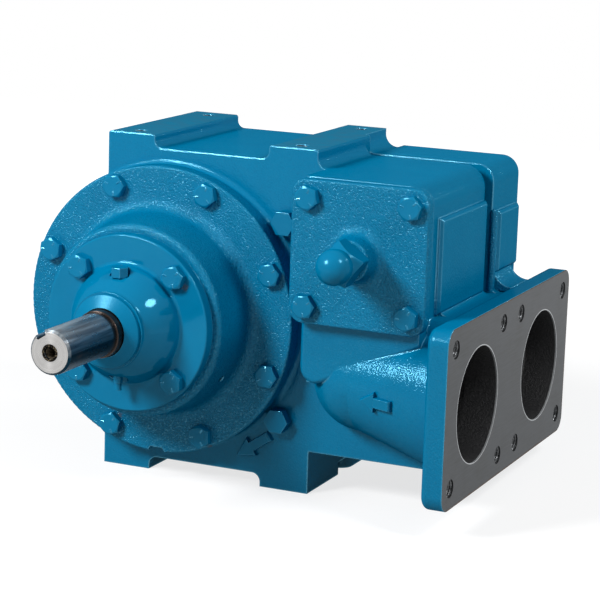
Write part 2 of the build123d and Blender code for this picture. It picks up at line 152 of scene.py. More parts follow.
# %% [markdown]
# A finish is never one flat colour. Two helpers give every material its pattern: a grain
# with a real size in millimetres, and a colour that runs from one tone to another with
# that grain. One pixel of the picture is about 0.9 mm of the pump. So a grain that is
# finer than that on the real pump is drawn at about one or two millimetres, or it would
# blur into an even grey.


# %% Patterns
def grain(tree, here, size_mm, detail=2.0, roughness=0.5, stretch=(1, 1, 1)):
    """An even grain with patches of about this size, drawn out where stretch is small."""
    scaled = add(tree, "VectorMath", {"operation": "MULTIPLY"}, [here, stretch])
    per_metre = 1 / MM / size_mm
    shape = {"Vector": scaled, "Scale": per_metre, "Detail": detail, "Roughness": roughness}
    return add(tree, "TexNoise", {}, shape)


def two_tone(tree, pattern, first, second, low=0.0, high=1.0):
    """Runs from one colour to another while a pattern rises from low to high."""
    share = add(tree, "MapRange", {}, {"Value": pattern, "From Min": low, "From Max": high})
    return add(tree, "Mix", {"data_type": "RGBA"}, {"Factor": share, "A": first, "B": second})


print("a grain of 2 mm has a scale of", round(1 / MM / 2))

# %% [markdown]
# The pump is painted in one go, castings, screws and plugs together, with a sprayed
# enamel. The enamel is a deep pigment under a clear shine. A plain glossy shader would
# mirror the white studio on every side and turn the blue pale, so the shine is a mirror
# that takes only a small, even share of the light. Lamps still draw crisp highlights,
# and the blue stays deep.

# %% A glaze over a pigment
ENAMEL_BLUE = "#00739B"
ENAMEL_DEEP = "#006A93"
ENAMEL_PIT_SHADE = "#005073"
ENAMEL_SHINE = "#82D8F4"


def glazed(tree, colour, normal, roughness, share):
    """A matt pigment under a clear shine, which takes this share of the light."""
    matt = {"Base Color": colour, "Normal": normal, "Roughness": 0.6, "Specular IOR Level": 0.0}
    pigment = add(tree, "BsdfPrincipled", {}, matt)
    clear = {"Color": ENAMEL_SHINE, "Normal": normal, "Roughness": roughness}
    shine = add(tree, "BsdfAnisotropic", {}, clear)
    return add(tree, "MixShader", {}, [share, pigment, shine])


print("enamel colours:", ENAMEL_BLUE, ENAMEL_DEEP, ENAMEL_PIT_SHADE)

# %% [markdown]
# On rough sand-cast iron the paint keeps the pimpled skin of the sand, a grain of one to
# three millimetres, which breaks every highlight into sparks. On turned faces and screws
# the same paint lies smooth. So there is one function for the coat, and its grain height
# is a number: large for raw castings, small for machined parts. Real castings have no
# sharp edges, so the shader rounds them too.
# Wet paint draws back from an edge and lies glassy there, so the share of the shine grows
# where the rounded normal leaves the flat one, and on some of the grains.

# %% The coat
SHINE_SHARE, EDGE_SHARE, GLINT_SHARE = 0.034, 0.26, 0.09
PATCH_MM = 45.0
FULL_PIT_SHADE_MM = 1.6


def enamel(tree, here, grain_mm, height_mm, edge_mm, roughness, swell=None):
    """The coat itself: two close blues, darker in the hollows of the grain, partly from thicker paint and
    partly as painted shade, under a clear shine.
    """
    sand = grain(tree, here, grain_mm, 2.0, 0.6)
    rounded = add(tree, "Bevel", {"samples": 6}, {"Radius": edge_mm * MM})
    normal = rounded
    if swell is not None:
        normal = add(tree, "Bump", {}, {"Height": swell, "Distance": MM, "Normal": normal})
    normal = add(tree, "Bump", {}, {"Height": sand, "Distance": height_mm * MM, "Normal": normal})

    blue = two_tone(tree, grain(tree, here, PATCH_MM, 3.0), ENAMEL_DEEP, ENAMEL_BLUE)
    depth = min(1.0, height_mm / FULL_PIT_SHADE_MM)
    # Partly thicker paint and partly painted shade: the hollows of the grain are coloured a deeper blue.
    pit_shade = add(tree, "MapRange", {}, {"Value": sand, "From Min": 0.5, "From Max": 0.3, "To Max": depth})

    flat = add(tree, "NewGeometry", {}, []).outputs["Normal"]
    likeness = add(tree, "VectorMath", {"operation": "DOT_PRODUCT"}, [rounded, flat])
    to_edge = {"From Min": 0.985, "From Max": 0.9, "To Min": SHINE_SHARE, "To Max": SHINE_SHARE + EDGE_SHARE}
    even = add(tree, "MapRange", {}, {"Value": likeness, **to_edge})
    crests = grain(tree, here, grain_mm * 0.8, 1.0)
    to_crest = {"From Min": 0.58, "From Max": 0.68, "To Max": GLINT_SHARE * min(1.0, height_mm)}
    glints = add(tree, "MapRange", {}, {"Value": crests, **to_crest})
    share = add(tree, "Math", {"operation": "ADD"}, [even, glints])
    return glazed(tree, two_tone(tree, pit_shade, blue, ENAMEL_PIT_SHADE), normal, roughness, share)


print("on an open surface the shine takes", SHINE_SHARE, "of the light")

# %% [markdown]
# Thin rust has come through the paint at a few spots. A spot is a grain that is let
# through near one point, so its rim comes out ragged.
# The hub of the real bearing cover stands a little fuller than the straight cone of the
# solid. A swell over the cone, a height that falls off to both rims, bends its highlights
# much as the real hub does.


# %% Enamel with rust and swell
def rust(tree, pattern):
    """Dull grey-brown rust, from its own grain."""
    brown = two_tone(tree, pattern, "#463C36", "#6B5546")
    return add(tree, "BsdfPrincipled", {}, {"Base Color": brown, "Roughness": 0.8, "Specular IOR Level": 0.2})


def swelling(tree, x, z, inner, outer, fullness):
    """The height of a ring round the shaft that stands fuller than the cone under it."""
    held = add(tree, "Clamp", {}, {"Value": distance(tree, x, z), "Min": inner, "Max": outer})
    off_middle = add(tree, "Math", {"operation": "SUBTRACT"}, [held, (inner + outer) / 2])
    square = add(tree, "Math", {"operation": "MULTIPLY"}, [off_middle, off_middle])
    return add(tree, "Math", {"operation": "MULTIPLY"}, [square, -fullness])


def sprayed_enamel(name, grain_mm, height_mm, edge_mm, roughness, rust_spots=(), swell=None):
    """The coat as a material. A rust spot is a place (x, z) and a radius, and a swell is
    the inner and outer radius of a ring round the shaft and how full it stands."""
    material, tree = new_material(name)
    here, x, y, z = place_of(tree)
    form = swelling(tree, x, z, *swell) if swell else None
    coat = enamel(tree, here, grain_mm, height_mm, edge_mm, roughness, form)
    for spot_x, spot_z, radius in rust_spots:
        pattern = grain(tree, here, 1.6, 3.0, 0.6)
        reach = distance(tree, x, z, (spot_x, spot_z))
        fade = {"Value": reach, "From Min": radius, "From Max": radius * 0.2, "To Max": 0.6}
        ragged = add(tree, "Math", {"operation": "ADD"}, [add(tree, "MapRange", {}, fade), pattern])
        thin = {"Value": ragged, "From Min": 0.78, "From Max": 1.05, "To Max": 0.55}
        coat = add(tree, "MixShader", {}, [add(tree, "MapRange", {}, thin), coat, rust(tree, pattern)])
    add(tree, "OutputMaterial", {}, [coat])
    return material


HEAD_RUST = [(-38.0, -101.0, 6.0), (54.0, -118.0, 5.0)]
COVER_RUST = [(56.0, 38.5, 6.0), (-5.0, 50.0, 3.0)]
HUB_SWELL = (33.0, 55.0, 0.018)

rough_enamel = sprayed_enamel("sprayed_enamel_on_sand_casting", 1.6, 0.95, 2.0, 0.09, HEAD_RUST)
smooth_enamel = sprayed_enamel("sprayed_enamel_on_turned_iron", 7.0, 0.05, 0.8, 0.2)
cover_enamel = sprayed_enamel(
    "sprayed_enamel_on_bearing_cover", 7.0, 0.05, 0.8, 0.08, COVER_RUST, HUB_SWELL
)
shield_enamel = sprayed_enamel("sprayed_enamel_on_pressed_ring", 1.6, 0.12, 0.6, 0.3)
screw_enamel = sprayed_enamel("sprayed_enamel_on_screw_steel", 4.0, 0.05, 0.5, 0.12)
print("enamels made")

# %% [markdown]
# The casing is one casting with several finishes, so it has one material with a zone for
# each. The first is the port face: milled bare iron, mid grey and half matt, with faint
# cutter lines across it. Such lines lie a few tenths of a millimetre apart, too fine to
# show here, so they are drawn at 1.2 mm. A rim round each bore is painted far lighter than
# the face: a painted highlight on its cut edge.

# %% The milled port face
PORT_FACE_X, PORT_Z, PORT_PITCH = 295.0, -51.0, 166.0
BORE_HIGHLIGHT_INNER, BORE_HIGHLIGHT_OUTER = 49.0, 51.6

casing_finish, tree = new_material("enamelled_casing_with_milled_port_face")
here, x, y, z = place_of(tree)
facing_x, facing_y, facing_z = facing_of(tree)
coat = enamel(tree, here, 1.8, 0.3, 2.2, 0.09)
aside = add(tree, "Math", {"operation": "ABSOLUTE"}, [y])
port_side = add(tree, "Math", {"operation": "SUBTRACT"}, [aside, PORT_PITCH / 2])
port_up = add(tree, "Math", {"operation": "SUBTRACT"}, [z, PORT_Z])
port_reach = distance(tree, port_side, port_up)

milled_lines = grain(tree, here, 1.2, 2.0, 0.5, (1, 0.05, 1.0))
stains = grain(tree, here, 38, 4.0, 0.6)
stained = two_tone(tree, stains, "#414447", "#3A3C3D", 0.42, 0.68)
cut = two_tone(tree, milled_lines, stained, "#474A4D", 0.3, 0.8)
# Painted highlight: a light ring round the edge of each bore.
cut = two_tone(tree, within(tree, port_reach, BORE_HIGHLIGHT_INNER, BORE_HIGHLIGHT_OUTER), cut, "#B4B7B9")
cutter_marks = add(tree, "Bump", {}, {"Height": milled_lines, "Distance": 0.02 * MM})
bare_iron = {"Metallic": 0.6, "Roughness": 0.45, "Specular IOR Level": 0.1}
milled = add(tree, "BsdfPrincipled", {}, {"Base Color": cut, "Normal": cutter_marks, **bare_iron})
print("the port face lies", PORT_FACE_X, "mm from the shaft")

# %% [markdown]
# The ducts behind the face and the chamber are raw cast iron, grainy and oily, and coloured
# nearly black. The mounting pads were wiped after milling, so their paint is thin, and it
# is greyish: partly the thin paint and partly a painted sheen of the white studio at a low
# angle. And a thread of rust runs along the edge of the flange, where its paint stops.

# %% Raw iron, thin paint and rust
sand = grain(tree, here, 2.0, 3.0, 0.7)
near_black_iron = two_tone(tree, sand, "#101113", "#2A2A2B", 0.35, 0.75)
raw_skin = add(tree, "Bump", {}, {"Height": sand, "Distance": 0.8 * MM})
oily = {"Roughness": 0.55, "Specular IOR Level": 0.4}
inside = add(tree, "BsdfPrincipled", {}, {"Base Color": near_black_iron, "Normal": raw_skin, **oily})

# Painted sheen: the pad paint is a greyer blue than the enamel, partly thin paint and partly a painted
# reflection of the white studio.
thin_paint_and_sheen = two_tone(tree, grain(tree, here, 14, 3.0), "#246886", "#176C8D", 0.35, 0.65)
pad_marks = add(tree, "Bump", {}, {"Height": milled_lines, "Distance": 0.03 * MM})
wiped_pads_and_sheen = glazed(tree, thin_paint_and_sheen, pad_marks, 0.3, 0.03)

rust_grain = grain(tree, here, 5.0, 3.0, 0.6)
edge_rust = rust(tree, rust_grain)
print("casing finishes made")

# %% [markdown]
# Now each finish gets its zone. The duct narrows from the round port to a window nearer
# the middle of the casing, so the line that its wall is measured from leans over on the
# way in. A wall that looks outwards, away from the middle of the casing, is never inside
# the duct, which keeps the back of the valve housing painted.

# %% Where the ducts and the chamber are
DUCT_WINDOW_X, DUCT_PORT_X = 140.0, 265.0
WINDOW_Y, INLET_WINDOW_Z, OUTLET_WINDOW_Z = 38.0, -46.0, 12.0
WINDOW_RADIUS, PORT_RADIUS = 45.6, 52.0
CHAMBER_RADIUS = 104.6
OUTWARD = 60.0


def on_the_way_out(inner, outer):
    """A value that changes evenly from the window of a duct to its port."""
    way = {"Value": x, "From Min": DUCT_WINDOW_X, "From Max": DUCT_PORT_X}
    return add(tree, "MapRange", {}, {**way, "To Min": inner, "To Max": outer})


is_outlet = add(tree, "Math", {"operation": "GREATER_THAN"}, [y, 0.0])
window_z = [is_outlet, OUTLET_WINDOW_Z - INLET_WINDOW_Z, INLET_WINDOW_Z]
duct_z = on_the_way_out(add(tree, "Math", {"operation": "MULTIPLY_ADD"}, window_z), PORT_Z)
duct_reach = distance(tree, aside, z, (on_the_way_out(WINDOW_Y, PORT_PITCH / 2), duct_z))
duct_radius = on_the_way_out(WINDOW_RADIUS, PORT_RADIUS)
near_duct = add(tree, "Math", {"operation": "LESS_THAN"}, [duct_reach, duct_radius])
outwards = add(tree, "Math", {"operation": "MULTIPLY"}, [y, facing_y])
not_outer = add(tree, "Math", {"operation": "LESS_THAN"}, [outwards, OUTWARD])
in_duct = all_of(tree, near_duct, within(tree, x, 60.0, PORT_FACE_X - 1.4), not_outer)
in_chamber = add(tree, "Math", {"operation": "LESS_THAN"}, [distance(tree, x, z), CHAMBER_RADIUS])
hidden = add(tree, "Math", {"operation": "MAXIMUM"}, [in_duct, in_chamber])
print("the ducts lean from", WINDOW_Y, "to", PORT_PITCH / 2, "mm beside the shaft")

# %% [markdown]
# The face, its tapped holes, the pads and the rusty edge are found in the same way, by
# their place and by the way they look. The rims of the bores and holes were cut with the
# face, so they are bare too.

# %% Where the face, the holes and the pads are
FLANGE_Y, FLANGE_LOW, FLANGE_HIGH = 161.5, -129.0, 27.0
HOLE_OFF, HOLE_WALL, HOLE_RIM, BORE_RIM = 59.5, 8.3, 9.6, 53.0
PAD_TOP, FAR = 154.0, 400.0

on_face = all_of(tree, within(tree, x, PORT_FACE_X - 0.6, FAR), within(tree, facing_x, 0.6, 9.0))
on_pad = all_of(tree, within(tree, z, PAD_TOP - 0.6, FAR), within(tree, facing_z, 0.8, 9.0))

to_edge = add(tree, "Math", {"operation": "SUBTRACT"}, [FLANGE_Y, aside])
for pair in ([FLANGE_HIGH, z], [z, FLANGE_LOW]):
    left = add(tree, "Math", {"operation": "SUBTRACT"}, pair)
    to_edge = add(tree, "Math", {"operation": "MINIMUM"}, [to_edge, left])
rust_width = add(tree, "Math", {"operation": "MULTIPLY_ADD"}, [rust_grain, 2.0, -0.1])
rusty = all_of(tree, add(tree, "Math", {"operation": "LESS_THAN"}, [to_edge, rust_width]), on_face)

offsets = []
for part in (port_side, port_up):
    size = add(tree, "Math", {"operation": "ABSOLUTE"}, [part])
    offsets.append(add(tree, "Math", {"operation": "SUBTRACT"}, [size, HOLE_OFF]))
hole_reach = distance(tree, *offsets)
in_hole = add(tree, "Math", {"operation": "LESS_THAN"}, [hole_reach, HOLE_WALL])
side_on = within(tree, add(tree, "Math", {"operation": "ABSOLUTE"}, [facing_x]), -1.0, 0.3)
in_tapped = all_of(tree, within(tree, x, 262.0, PORT_FACE_X - 0.6), side_on, in_hole)

near_hole = add(tree, "Math", {"operation": "LESS_THAN"}, [hole_reach, HOLE_RIM])
near_bore = add(tree, "Math", {"operation": "LESS_THAN"}, [port_reach, BORE_RIM])
near_rim = add(tree, "Math", {"operation": "MAXIMUM"}, [near_bore, near_hole])
on_rim = all_of(tree, near_rim, within(tree, x, PORT_FACE_X - 2.0, FAR))
bared = add(tree, "Math", {"operation": "MAXIMUM"}, [on_face, on_rim])

finish = coat
zones = [(on_pad, wiped_pads_and_sheen), (bared, milled), (rusty, edge_rust), (in_tapped, inside), (hidden, inside)]
for mask, over in zones:
    finish = add(tree, "MixShader", {}, [mask, finish, over])
add(tree, "OutputMaterial", {}, [finish])
print("casing finish has", len(tree.nodes), "nodes")

# %% [markdown]
# The shaft is turned and ground steel. Fine rings run round its side and across its end,
# and those on the end are drawn at 0.8 mm, coarse enough to show. The rings spread every
# lamp into a streak or a fan, and a metal that is rougher one way than the other does the
# same. The underside of its side is painted a dark blue: a painted reflection of the blue
# pump round it. Thin brown streaks of old oil and flash rust lie on it.

# %% Ground shaft steel
END_ZONE_Y, DARK_BAND = -290.0, (-224.0, -200.0)
COUNTERSINK_SHADE_RADIUS = 7.4

turned_steel, tree = new_material("turned_and_ground_shaft_steel")
here, x, y, z = place_of(tree)
facing_x, facing_y, facing_z = facing_of(tree)
reach = distance(tree, x, z)
on_end = all_of(tree, within(tree, facing_y, -9.0, -0.9), within(tree, y, -FAR, END_ZONE_Y))

streaks = grain(tree, here, 9.0, 3.0, 0.6, (1.0, 0.3, 1.0))
drawn = grain(tree, here, 3.0, 2.0, 0.5, (1.0, 0.05, 1.0))
side = two_tone(tree, drawn, "#5C646B", "#8F999F", 0.35, 0.65)
# Painted reflection: where the side looks down it is painted dark blue, for the blue pump that it would
# mirror.
side = two_tone(tree, facing_z, "#0E2A38", side, -0.1, 0.3)
side = two_tone(tree, streaks, side, "#5F4C3F", 0.6, 0.9)
side = two_tone(tree, within(tree, y, *DARK_BAND, 2.0), side, "#3A3330")

outwards = add(tree, "CombineXYZ", {}, [add(tree, "Math", {"operation": "MULTIPLY"}, [reach, MM])])
end = two_tone(tree, grain(tree, outwards, 0.8), "#9A9998", "#B4B3B1", 0.3, 0.7)
# Painted shade and painted glints: where the centre hole would have its countersink, the end is painted
# nearly black with pale specks.
countersink_shade_and_glints = two_tone(tree, grain(tree, here, 1.2), "#101010", "#6D6350", 0.55, 0.62)
end = two_tone(tree, within(tree, reach, -1.0, COUNTERSINK_SHADE_RADIUS), end, countersink_shade_and_glints)

worn = {"Value": streaks, "From Min": 0.35, "From Max": 0.9, "To Min": 0.26, "To Max": 0.34}
rounded = add(tree, "Bevel", {"samples": 6}, {"Radius": 0.4 * MM})
scored = add(tree, "Bump", {}, {"Height": drawn, "Distance": 0.015 * MM, "Normal": rounded})
steel = {
    "Base Color": two_tone(tree, on_end, side, end),
    "Metallic": 1.0,
    "Roughness": add(tree, "MapRange", {}, worn),
    "Normal": scored,
    "Anisotropic": 0.75,
    "Anisotropic Rotation": 0.25,
    "Tangent": add(tree, "Tangent", {"direction_type": "RADIAL", "axis": "Y"}, []),
}
add(tree, "OutputMaterial", {}, [add(tree, "BsdfPrincipled", {}, steel)])
print("shaft steel has", len(tree.nodes), "nodes")

# %% [markdown]
# The parts inside were never painted: a bored cast-iron drum, liner and discs, and vanes
# moulded from a dark resin. The threads were cut by a tap, and are grey in the iron and a
# dull brown in the shaft. All of these are hardly seen, so one function makes them from
# two close colours and a fine grain.


# %% Plain finishes
def plain_finish(name, dark, light, size_mm, metallic, roughness, height_mm):
    """A finish of two close colours with a fine grain."""
    material, tree = new_material(name)
    pattern = grain(tree, place_of(tree)[0], size_mm, 3.0)
    rounded = add(tree, "Bevel", {"samples": 6}, {"Radius": 0.4 * MM})
    surface = {
        "Base Color": two_tone(tree, pattern, dark, light, 0.3, 0.7),
        "Metallic": metallic,
        "Roughness": roughness,
        "Normal": add(tree, "Bump", {}, {"Height": pattern, "Distance": height_mm * MM, "Normal": rounded}),
    }
    add(tree, "OutputMaterial", {}, [add(tree, "BsdfPrincipled", {}, surface)])
    return material


bored_iron = plain_finish("bored_cast_iron", "#4A4C4E", "#5E6063", 3.0, 0.7, 0.45, 0.02)
vane_resin = plain_finish("moulded_vane_resin", "#1E1D1B", "#2C2A27", 2.0, 0.0, 0.5, 0.05)
thread_steel = plain_finish("cut_thread_in_iron", "#2E3032", "#77797B", 1.5, 0.9, 0.3, 0.02)
dull_steel = plain_finish("dull_thread_in_shaft", "#2C261F", "#5A5040", 1.5, 0.9, 0.4, 0.02)
print("plain finishes made")

# %% [markdown]
# Every solid now gets its finish. Gaskets between painted parts were painted over with
# them, and so were the plugs and grease fittings. No solid may be left without one.

# %% Dress the solids
PLUGS = [f"{end}_{part}_plug" for end in ("front", "back") for part in ("upper", "lower", "grease")]
DRESS = {
    rough_enamel: ["front_head", "back_head", "relief_valve_cover"],
    casing_finish: ["casing"],
    cover_enamel: ["front_bearing_cover", "back_bearing_cover"],
    shield_enamel: ["dust_shield"],
    smooth_enamel: ["relief_valve_cap", "front_cover_gasket", "back_cover_gasket", "relief_valve_gasket"],
    screw_enamel: PLUGS + ["front_grease_relief", "back_grease_relief"],
    turned_steel: ["shaft"],
    bored_iron: ["rotor", "liner", "front_end_disc", "back_end_disc"],
    vane_resin: [f"vane_{number}" for number in range(1, 7)],
}
for material, names in DRESS.items():
    for name in names:
        mesh = nodes[name].data
        mesh.materials.clear()
        mesh.materials.append(material)
bare = [name for name in nodes if not nodes[name].data.materials]
print("dressed", len(nodes) - len(bare), "solids, still bare:", bare)

# %% [markdown]
# All the added pieces are built in the same way, from rings of points. One function skins
# the rings with four-sided faces, and one turns the finished mesh into an object that
# rides with a body of the pump.


def skin(form, rings):
    """Joins each ring of points to the next with four-sided faces."""
    for low, high in zip(rings, rings[1:]):
        for step in range(len(low)):
            after = (step + 1) % len(low)
            form.faces.new((low[step], low[after], high[after], high[step]))


def finished_piece(name, form, material, body):
    """Turns a built mesh into an object that rides with a body of the pump."""
    mesh = bpy.data.meshes.new(name)
    bmesh.ops.recalc_face_normals(form, faces=form.faces)
    bmesh.ops.scale(form, vec=(MM, MM, MM), verts=form.verts)
    form.to_mesh(mesh)
    form.free()
    made = bpy.data.objects.new(name, mesh)
    bpy.context.scene.collection.objects.link(made)
    mesh.materials.append(material)
    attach(made, body)
    return made


print("pieces ride with the housing or the rotor")

# %% [markdown]
# Screws hold the heads, the bearing covers and the relief valve cover. Each has a hex
# head 19 mm across its flats. The corners of the hex are cut back by a cone, which
# leaves the curved edges that catch the light, and three short raised bars stand near the
# rim of the top. A six-sided cylinder with a bevel has straight edges, so each head is
# built with many points round it, where the cone cuts each one at its own height.

# %% One screw head
SCREW_FLATS, SCREW_HEIGHT, SCREW_STEPS = 19.0, 7.0, 48
FACE_SHARE, CONE_SLOPE = 0.9, 0.47
BAR_INNER, BAR_OUTER = 5.0, 8.2
BAR_LAYERS = ((-0.2, 0.75), (0.4, 0.3))


def screw_head(form, place, turn):
    """Adds one hex head to a mesh being built. It stands on the XY plane, top up."""
    flat = SCREW_FLATS / 2
    face = flat * FACE_SHARE
    rings = [[], [], []]
    for step in range(SCREW_STEPS):
        angle = 2 * pi * step / SCREW_STEPS
        corner = flat / cos((angle % (pi / 3)) - pi / 6)
        shoulder = SCREW_HEIGHT - (corner - face) * CONE_SLOPE
        for ring, (radius, height) in zip(rings, ((corner, 0), (corner, shoulder), (face, SCREW_HEIGHT))):
            point = Vector((radius * cos(angle + turn), radius * sin(angle + turn), height))
            ring.append(form.verts.new(place @ point))
    skin(form, rings)
    form.faces.new(rings[2])
    form.faces.new(list(reversed(rings[0])))
    for bar in range(3):
        angle = turn + 2 * pi * bar / 3 + pi / 6
        out = Vector((cos(angle), sin(angle), 0))
        side = Vector((-out.y, out.x, 0))
        layers = []
        for height, spread in BAR_LAYERS:
            layer = []
            for along, across in ((BAR_INNER, -1), (BAR_OUTER, -1), (BAR_OUTER, 1), (BAR_INNER, 1)):
                point = out * along + side * across * spread + Vector((0, 0, SCREW_HEIGHT + height))
                layer.append(form.verts.new(place @ point))
            layers.append(layer)
        skin(form, layers)
        form.faces.new(layers[-1])


print("screw heads are", SCREW_FLATS, "mm across their flats")

# %% [markdown]
# The screws stand in circles: eight round each head, four round each bearing cover and
# four at the corners of the valve cover. A fitter leaves every head at another angle, so
# a short list of angles is used in turn. Each circle is one piece.

# %% Circles of screws
SCREW_TURNS = [12, 41, 5, 27, 52, 18, 33, 58, 9, 47, 22, 38]
HEAD_CIRCLE, HEAD_SEAT = 117.6, 107.0
COVER_CIRCLE, COVER_SEAT = 65.0, 167.0
VALVE_X, VALVE_Z, VALVE_SQUARE, VALVE_SEAT = 202.0, 75.0, 93.0, 138.0


def screw_circle(name, radius, count, start, seat, side, middle=(0, 0)):
    """A circle of screws on a face that looks along -Y or +Y."""
    form = bmesh.new()
    for number in range(count):
        angle = radians(start + 360 / count * number)
        x = middle[0] + radius * cos(angle)
        z = middle[1] + radius * sin(angle)
        spot = SHAFT_AXIS + Vector((x, side * seat, z))
        place = Matrix.Translation(spot) @ Matrix.Rotation(-side * pi / 2, 4, "X")
        screw_head(form, place, radians(SCREW_TURNS[number % len(SCREW_TURNS)]))
    return finished_piece(name, form, screw_enamel, "housing")


circles = []
for side, end in ((-1, "front"), (1, "back")):
    circles.append(screw_circle(f"{end}_head_screws", HEAD_CIRCLE, 8, 22.5, HEAD_SEAT, side))
    circles.append(screw_circle(f"{end}_cover_screws", COVER_CIRCLE, 4, 45.0, COVER_SEAT, side))
circles.append(
    screw_circle("relief_cover_screws", VALVE_SQUARE / sqrt(2), 4, 45.0, VALVE_SEAT, -1, (VALVE_X, VALVE_Z))
)
print("circles of screws:", [circle.name for circle in circles])

# %% [markdown]
# The cap over the valve's adjusting screw ends in a ball and has a square collar for a
# wrench. Its corners are turned back by a cone that meets the ball in a hollow line. Each
# direction round the cap gets its own profile: the flat of the square, the point where
# the cone cuts it, the hollow line and the ball. So every edge comes out crisp, which a
# cut made afterwards on a coarse mesh wouldn't give.

# %% Valve cap with a square collar
CAP_SEAT, CAP_LIP = 158.3, 0.5
CAP_FLATS, CAP_CORNER, CAP_TURN = 28.6, 19.8, radians(10)
CONE_START, CONE_END, CONE_END_RADIUS = 172.0, 178.7, 13.0
BALL_MIDDLE, BALL_RADIUS = 187.0, 15.3
CAP_STEPS, BALL_STEPS = 96, 14
BALL_TIP = 0.998


def cap_profile(angle):
    """Points (radius, distance out along -Y) of the cap in one direction round its axis."""
    from_corner = (angle - CAP_TURN) % (pi / 2)
    flat = min(CAP_FLATS / 2 / cos(from_corner - pi / 4), CAP_CORNER)
    slope = (CONE_END - CONE_START) / (CAP_CORNER - CONE_END_RADIUS)
    cone_cut = CONE_START + (CAP_CORNER - flat) * slope
    points = [(flat - CAP_LIP, CAP_SEAT), (flat, CAP_SEAT + CAP_LIP), (flat, cone_cut)]
    first = -sqrt(1 - (CONE_END_RADIUS / BALL_RADIUS) ** 2)
    for step in range(BALL_STEPS):
        up = first + (BALL_TIP - first) * sin(pi / 2 * step / (BALL_STEPS - 1))
        points.append((BALL_RADIUS * sqrt(1 - up * up), BALL_MIDDLE + BALL_RADIUS * up))
    return points


form = bmesh.new()
rings = [[] for _ in cap_profile(0)]
for step in range(CAP_STEPS):
    angle = 2 * pi * step / CAP_STEPS
    for ring, (radius, out) in zip(rings, cap_profile(angle)):
        spot = Vector((VALVE_X + radius * cos(angle), -out, VALVE_Z + radius * sin(angle)))
        ring.append(form.verts.new(spot + SHAFT_AXIS))
skin(form, rings)
form.faces.new(rings[-1])
form.faces.new(list(reversed(rings[0])))
cap = finished_piece("valve_cap_with_square_collar", form, smooth_enamel, "housing")
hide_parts("relief_valve_cap")
for face in cap.data.polygons:
    far_out = -face.center.y - BALL_MIDDLE * MM
    face.use_smooth = far_out > -sqrt(BALL_RADIUS**2 - CONE_END_RADIUS**2) * MM and len(face.vertices) == 4
print("cap corners", round(CAP_CORNER, 1), "mm out, ball", BALL_RADIUS, "mm round")

# %% [markdown]
# Two raised arrows are cast on the pump: one on the casing shows which way the shaft
# turns, one on the inlet duct shows which way the liquid flows. They stand four
# millimetres proud with sloping sides, as a pattern maker draws them so that the sand
# lets go. Each is one outline laid on the surface at three heights, and the one on the
# duct follows its cone.

# %% Raised arrows
ARROW_RISE, ARROW_WIDTH = 4.0, 9.0
ARROW_LAYERS = ((-1.0, 1.08), (ARROW_RISE * 0.7, 1.0), (ARROW_RISE, 0.9))
CASING_FRONT_Y = -85.0
CONE_FROM, CONE_TO = (193.5, 47.0, -40.5), (275.0, 66.0, -48.0)


def raised_arrow(name, tip, tail, surface):
    """An arrow between two points (x, z), laid on a surface that gives y for x and z."""
    along = Vector((tail[0] - tip[0], tail[1] - tip[1]))
    length = along.length
    along.normalize()
    across = Vector((-along.y, along.x))
    neck = length * 0.45
    half = ARROW_WIDTH * 0.5
    outline = [(0, 0), (neck, ARROW_WIDTH), (neck, half), (length, half)]
    outline += [(a, -b) for a, b in reversed(outline[1:])]
    middle = length * 0.5
    form = bmesh.new()
    rings = []
    for rise, shrink in ARROW_LAYERS:
        ring = []
        for a, b in outline:
            a, b = middle + (a - middle) * shrink, b * shrink
            x = tip[0] + along.x * a + across.x * b
            z = tip[1] + along.y * a + across.y * b
            ring.append(form.verts.new(Vector((x, surface(x, z) - rise, z)) + SHAFT_AXIS))
        rings.append(ring)
    skin(form, rings)
    form.faces.new(rings[-1])
    return finished_piece(name, form, screw_enamel, "housing")


def duct_front(x, z):
    """The front of the inlet duct's cone at one place."""
    share = (x - CONE_FROM[0]) / (CONE_TO[0] - CONE_FROM[0])
    radius, middle_z = (a + (b - a) * share for a, b in zip(CONE_FROM[1:], CONE_TO[1:]))
    return -PORT_PITCH / 2 - sqrt(radius**2 - (z - middle_z) ** 2)


raised_arrow("rotation_arrow", (71.3, -127.5), (102.6, -105.5), lambda x, z: CASING_FRONT_Y)
raised_arrow("flow_arrow", (208.0, -46.8), (238.0, -48.0), duct_front)
print("arrows laid, each", ARROW_RISE, "mm proud")

# %% [markdown]
# Two small cast forms lie on the back block of the relief valve housing. A half-round rib
# with a round top stands beside the groove. It is a radius turned round an upright line
# and half sunk in the block.

# %% Cast rib
BLOCK_RIGHT, BLOCK_FRONT, BLOCK_BACK = 260.0, 32.0, 89.0
RIB_RADIUS, RIB_FOOT, RIB_TOP = 3.5, 20.0, 94.5
CAST_STEPS = 16

form = bmesh.new()
outline = [(RIB_RADIUS, RIB_FOOT)]
for step in range(CAST_STEPS):
    angle = pi / 2 * step / CAST_STEPS
    outline.append((RIB_RADIUS * cos(angle), RIB_TOP + RIB_RADIUS * sin(angle)))
rib_middle = SHAFT_AXIS + Vector((BLOCK_RIGHT + 1.0, BLOCK_FRONT + 2.0, 0))
rings = []
for radius, height in outline:
    ring = []
    for step in range(CAST_STEPS):
        angle = 2 * pi * step / CAST_STEPS
        ring.append(form.verts.new(rib_middle + Vector((radius * cos(angle), radius * sin(angle), height))))
    rings.append(ring)
skin(form, rings)
form.faces.new(rings[-1])
finished_piece("valve_housing_rib", form, rough_enamel, "housing")
print("rib", RIB_TOP + RIB_RADIUS - RIB_FOOT, "mm tall")

# %% [markdown]
# The second form is a broad soft corner, which lets the block run out onto the port
# flange. A sharp inner corner weakens a casting as it cools, so a pattern has a fillet of
# wax or leather there. It is one hollow arc, drawn out along the block.

# %% Soft corner
CORNER_ROUND, CORNER_FRONT = 18.0, 39.5
SUNK = 4

